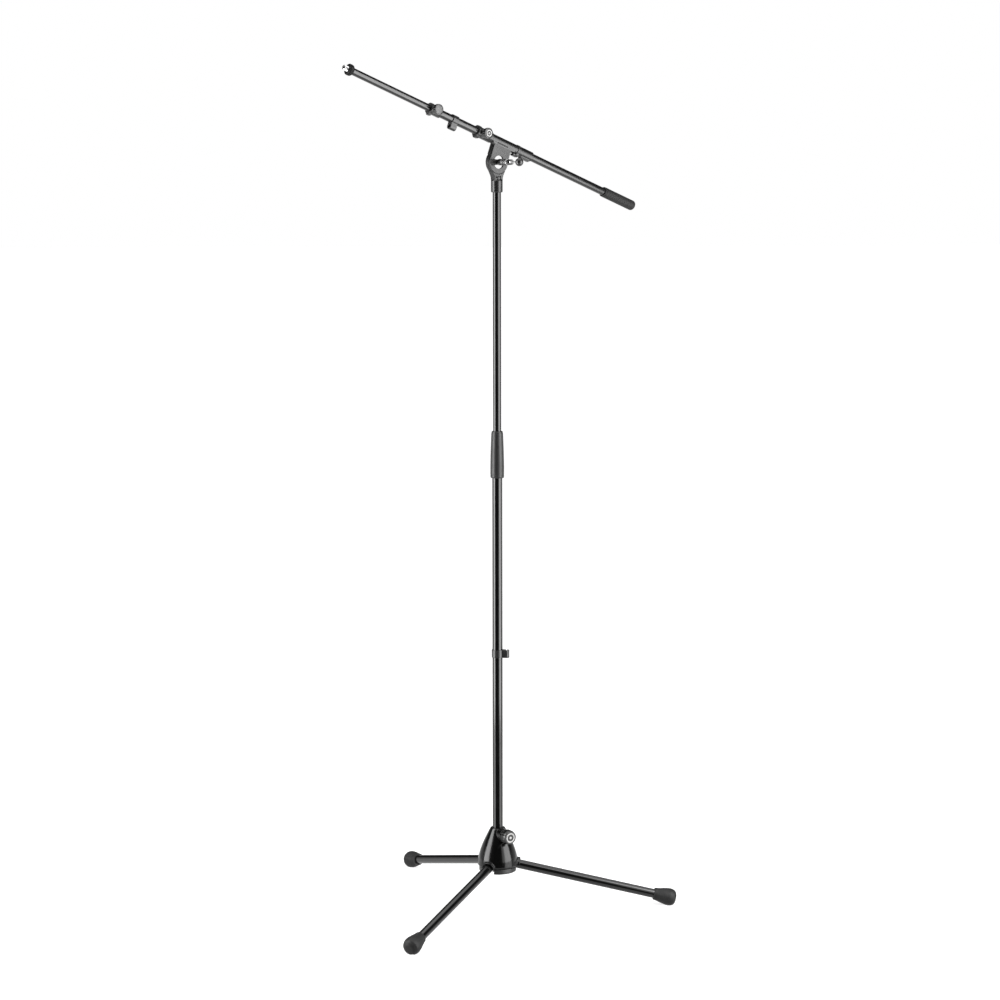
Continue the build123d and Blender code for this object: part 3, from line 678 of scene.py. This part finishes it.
turned("t_bar_pin", [(0, -5), (1.25, -5), (1.25, 5), (0, 5)], SWIVEL @ shift(y=PIN_Y),
       segs=32, corner=0.2)
cast("t_bar_lever", 0.18, 4, SWIVEL)

# a small neck, then the ball in 5 degree steps
ball_angles = [math.pi * k / 36 for k in range(8, 36)]
ball_arc = [(BALL_RADIUS * math.sin(angle), BALL_Y - BALL_RADIUS * math.cos(angle))
            for angle in ball_angles]
turned("t_bar_ball", [(0, 60.1), (1.75, 60.1), (2.9, 59), (4.4, 59.55), *ball_arc,
                      (0, BALL_Y + BALL_RADIUS)], SWIVEL, "Y")


# ---------------------------------------------------------------------------
# boom holder and clamp knobs
# ---------------------------------------------------------------------------
def on_boom(radius, start, end):
    """A cylinder round the boom tube's axis, in the BOOM frame."""
    return cylinder("X", radius, start, end, centre=(0, BOOM_RISE))


cast("boom_holder", 0.35, 5, BOOM, [
    plane("Y", 7), plane("Y", -6.5), cylinder("Y", CHEEK_RADIUS, 0.9, 6.6),
    cylinder("Y", 12.5, 3.7, 6.6), on_boom(9.1, -35.6, 29.6)])
cast("holder_rear_bush", 0.3, 4, BOOM, [on_boom(10, -41.6, -36.4)])
cast("holder_rear_collar", 0.3, 5, BOOM, [on_boom(9.5, -75.5, -42.5)])
cast("holder_clamp_body", 0.32, 5, BOOM, [on_boom(10.2, 30.4, 60.6), on_boom(11.4, 61.5, 67.5)])

# (radius, height above the knob's inner end)
CLAMP_KNOB_OUTLINE = [(0, 0), (5.5, 0), (6.5, 0.8), (9.6, 1.6), (10.2, 2.6), (10.2, 8.4),
                      (9.5, 9.2), (8, 9.6), (8, 9), (0, 9)]
for piece, place, start in (("holder_clamp_knob", HOLDER_CLAMP, 13),
                            ("boom_clamp_knob", BOOM_CLAMP, 11.9)):
    turned(piece, [(radius, start + height) for radius, height in CLAMP_KNOB_OUTLINE],
           place, "Y", segs=160, corner=0.35, step=0.5,
           relief=fluted(10, depth=0.75, start=start + 1.8, end=start + 9, ease=0.9, outer=10.2))
holder_cap = turned("holder_knob_cap", [
    (0, 22), (7.95, 22), (7.95, 22.6), (6.4, 22.6), (6.4, 23), (4.5, 23),
    (4.5, 22.6), (1.8, 22.6), (1.8, 23), (0, 23)],
    HOLDER_CLAMP, "Y", corner=0.16, step=0.3)
emblem(holder_cap, HOLDER_CLAMP, "Y", face=22.7, rings=((0, 1.9), (4.4, 6.5)))
turned("boom_knob_cap", [(0, 20.9), (7.95, 20.9), (7.95, 21.3), (6.6, 21.7), (0, 21.9)],
       BOOM_CLAMP, "Y", corner=0.2)

# ---------------------------------------------------------------------------
# boom
# ---------------------------------------------------------------------------
BOOM_TAIL = -352
BOOM_TIP = 376.5
INNER_BORE = 5.6
STUD_RADIUS = 4.7625
CLIP_START, CLIP_END = 118, 132

turned("boom_outer_tube", tube(7.5, 6.8, BOOM_TAIL, 172), TUBE, "X", segs=128, corner=0.2)
turned("boom_inner_tube", tube(6.6, INNER_BORE, -60, BOOM_TIP), TUBE, "X", segs=128, corner=0.2)

# rounded end, a row of fine grooves, a lipped mouth, then the bore
grip = [(0, -361.4), (6.4, -361.4), (8.6, -360.6), (9.6, -359.2), (10, -357.6)]
for x in np.arange(BOOM_TAIL, -284, 5.4):
    grip += [(10, x), (9.72, x + 0.35), (9.72, x + 0.95), (10, x + 1.3)]
grip += [(10, -280), (9.2, -279.6), (9.2, -278.8), (9.8, -278.4), (9.8, -276.6), (9.3, -276),
         (7.52, -276), (7.52, BOOM_TAIL), (0, BOOM_TAIL)]
turned("boom_grip", grip, TUBE, "X", segs=128, arc=3)

cast("boom_clamp_body", 0.32, 5, BOOM, [
    on_boom(9.6, 161.4, 181.6), on_boom(10.8, 182.4, 187.6)])
cast("boom_cable_clip", 0.28, 5, BOOM, [
    on_boom(9.1, CLIP_START, CLIP_END), plane("X", CLIP_START), plane("X", CLIP_END)])
turned("thread_stud", [
    (0, 346), (INNER_BORE, 346), (INNER_BORE, BOOM_TIP), (4.2, BOOM_TIP), (4.2, 386.8),
    (STUD_RADIUS, 386.8), (STUD_RADIUS, 395.1), (3.9, 396), (2.2, 396), (2.2, 387), (0, 387)],
    TUBE, "X", corner=0.1, step=0.16,
    relief=thread(STUD_RADIUS, depth=0.72, pitch=1.5875, start=386.2, end=395.6, run=0.8))
turned("lock_nut", [
    (4.25, 377), (8.6, 377), (10.2, 378.4), (10.7, 380), (10.7, 384.8), (10, 386),
    (7, 386.4), (4.25, 386.4)],
    TUBE, "X", segs=216, step=0.5, relief=knurl)

# carried-over CAD nodes keep their own mesh and take the same finishes
replaced = {name for obj in bpy.data.objects for name in list(obj.get("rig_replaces", []))}
for name, obj in NODES.items():
    if name not in replaced:
        paint(obj, name)

# ---------------------------------------------------------------------------
# floor, in metres from here on
# ---------------------------------------------------------------------------
FLOOR_HALF, FLOOR_Z = 40, -0.0004


def build_floor():
    """A pale, faintly glowing floor that casts no shadow and stays out of reflections."""
    mesh = bpy.data.meshes.new("floor")
    corners = [(x * FLOOR_HALF, y * FLOOR_HALF, FLOOR_Z)
               for x, y in ((-1, -1), (1, -1), (1, 1), (-1, 1))]
    mesh.from_pydata(corners, [], [(0, 1, 2, 3)])
    floor = new_object("floor", mesh)
    material = bpy.data.materials.new("m_floor")
    material.use_nodes = True
    tree = material.node_tree
    bsdf = tree.nodes["Principled BSDF"]
    bsdf.inputs["Roughness"].default_value = 0.8
    bsdf.inputs["Specular IOR Level"].default_value = 0.2
    coord = node(tree, "TexCoord", "Object")
    mottle = noise(tree, coord, scale=3, detail=3, rough=0.5, seed=2)
    colour = mix(tree, ramp(tree, mottle, low=0.3, high=0.7), grey(0.30), grey(0.32))
    tree.links.new(colour, bsdf.inputs["Base Color"])
    bsdf.inputs["Emission Color"].default_value = (1, 1, 1, 1)
    bsdf.inputs["Emission Strength"].default_value = 0.78
    floor.data.materials.append(material)
    floor.visible_glossy = False
    floor.visible_shadow = False


build_floor()

# ---------------------------------------------------------------------------
# lights
# ---------------------------------------------------------------------------
STUDIO_TURN = turn(-2.061, "Z")


def studio(x, y, z):
    """Studio axes: the camera looks along +Y."""
    return STUDIO_TURN @ Vector((x, y, z))


def softbox(name, azimuth, z, width, height, radiance, distance=1.5):
    """Level panel facing the column; azimuth runs from the camera side, positive to its right."""
    angle = math.radians(azimuth)
    position = studio(distance * math.sin(angle), -distance * math.cos(angle), z)
    data = bpy.data.lights.new(name, "AREA")
    data.shape = "RECTANGLE"
    data.size, data.size_y = width, height
    data.energy = radiance * math.pi * width * height
    light = bpy.data.objects.new(name, data)
    light.location = position
    light.rotation_mode = "QUATERNION"
    light.rotation_quaternion = (Vector((0, 0, z)) - position).to_track_quat("-Z", "Y")
    light.visible_camera = False
    bpy.context.scene.collection.objects.link(light)


softbox("left_box", azimuth=-71, z=1.24, width=0.90, height=2.42, radiance=10.5)
softbox("right_box", azimuth=62.5, z=1.24, width=1.10, height=2.42, radiance=8.5)
softbox("right_feather", azimuth=34.5, z=1.24, width=0.40, height=2.42, radiance=2.2,
        distance=1.56)
# the boxes' dimmer lower ends, below floor level
softbox("left_low", azimuth=-70, z=-0.30, width=0.95, height=0.62, radiance=4.2)
softbox("right_low", azimuth=64, z=-0.30, width=1.20, height=0.62, radiance=3.4)


# ---------------------------------------------------------------------------
# world
# ---------------------------------------------------------------------------
def build_world():
    """White to the camera; to all else dark walls, a pale floor and a soft overhead panel."""
    world = bpy.data.worlds.new("studio")
    bpy.context.scene.world = world
    world.use_nodes = True
    tree = world.node_tree
    tree.nodes.clear()
    output = tree.nodes.new("ShaderNodeOutputWorld")
    coord = node(tree, "TexCoord", "Generated")

    def along(direction):
        return node(tree, "VectorMath", "Value", {0: coord, 1: direction},
                    operation="DOT_PRODUCT")

    def degrees(radians):
        return calc(tree, "MULTIPLY", radians, 180 / math.pi)

    # azimuth away from the camera side, either way, and rise above level
    heading = calc(tree, "ARCTAN2", along(studio(1, 0, 0)), along(studio(0, -1, 0)))
    azimuth = degrees(calc(tree, "ABSOLUTE", heading, 0))
    rise = degrees(calc(tree, "ARCSINE", along(Vector((0, 0, 1))), 0))
    behind = ramp(tree, azimuth, low=84, high=104)

    # the floor's edge lies 15 degrees lower on the camera side
    drop = ramp(tree, azimuth, low=84, high=104, start=15, end=0)
    below = calc(tree, "ADD", rise, drop)
    lower = calc(tree, "MULTIPLY", ramp(tree, below, low=-2, high=-10), 1.1)
    upper = ramp(tree, rise, low=42, high=55, end=2.3)
    # a band round the horizon behind the stand
    band = calc(tree, "MULTIPLY", ramp(tree, rise, low=-12, high=-8),
                ramp(tree, rise, low=14, high=6))
    band = calc(tree, "MULTIPLY", calc(tree, "MULTIPLY", band, behind), 0.7)
    walls = calc(tree, "ADD", band, 0.02)
    amount = calc(tree, "ADD", calc(tree, "ADD", lower, upper), walls)

    dark, white = (node(tree, "Background", 0, {"Color": (1, 1, 1, 1), "Strength": strength})
                   for strength in (amount, 1))
    to_camera = node(tree, "LightPath", "Is Camera Ray")
    surface = node(tree, "MixShader", 0, {0: to_camera, 1: dark, 2: white})
    tree.links.new(surface, output.inputs["Surface"])


build_world()

# ---------------------------------------------------------------------------
# camera and output
# ---------------------------------------------------------------------------
CAMERA_PITCH = math.radians(7.597)  # downward
CAMERA_ROLL = math.radians(-0.081)

cam_data = bpy.data.cameras.new("camera")
cam_data.sensor_width = 36
cam_data.lens = 90.54
cam_data.clip_start, cam_data.clip_end = 0.05, 200
camera = bpy.data.objects.new("camera", cam_data)
camera.location = studio(0.00525, -4.82137, 1.45315)
look = studio(0, math.cos(CAMERA_PITCH), -math.sin(CAMERA_PITCH))
roll = Matrix.Rotation(CAMERA_ROLL, 3, "Z").to_quaternion()
camera.rotation_mode = "QUATERNION"
camera.rotation_quaternion = look.to_track_quat("-Z", "Y") @ roll
scene = bpy.context.scene
scene.collection.objects.link(camera)
scene.camera = camera
scene.view_settings.view_transform = "Standard"
scene.view_settings.look = "None"
scene.view_settings.exposure = 0
scene.view_settings.gamma = 1
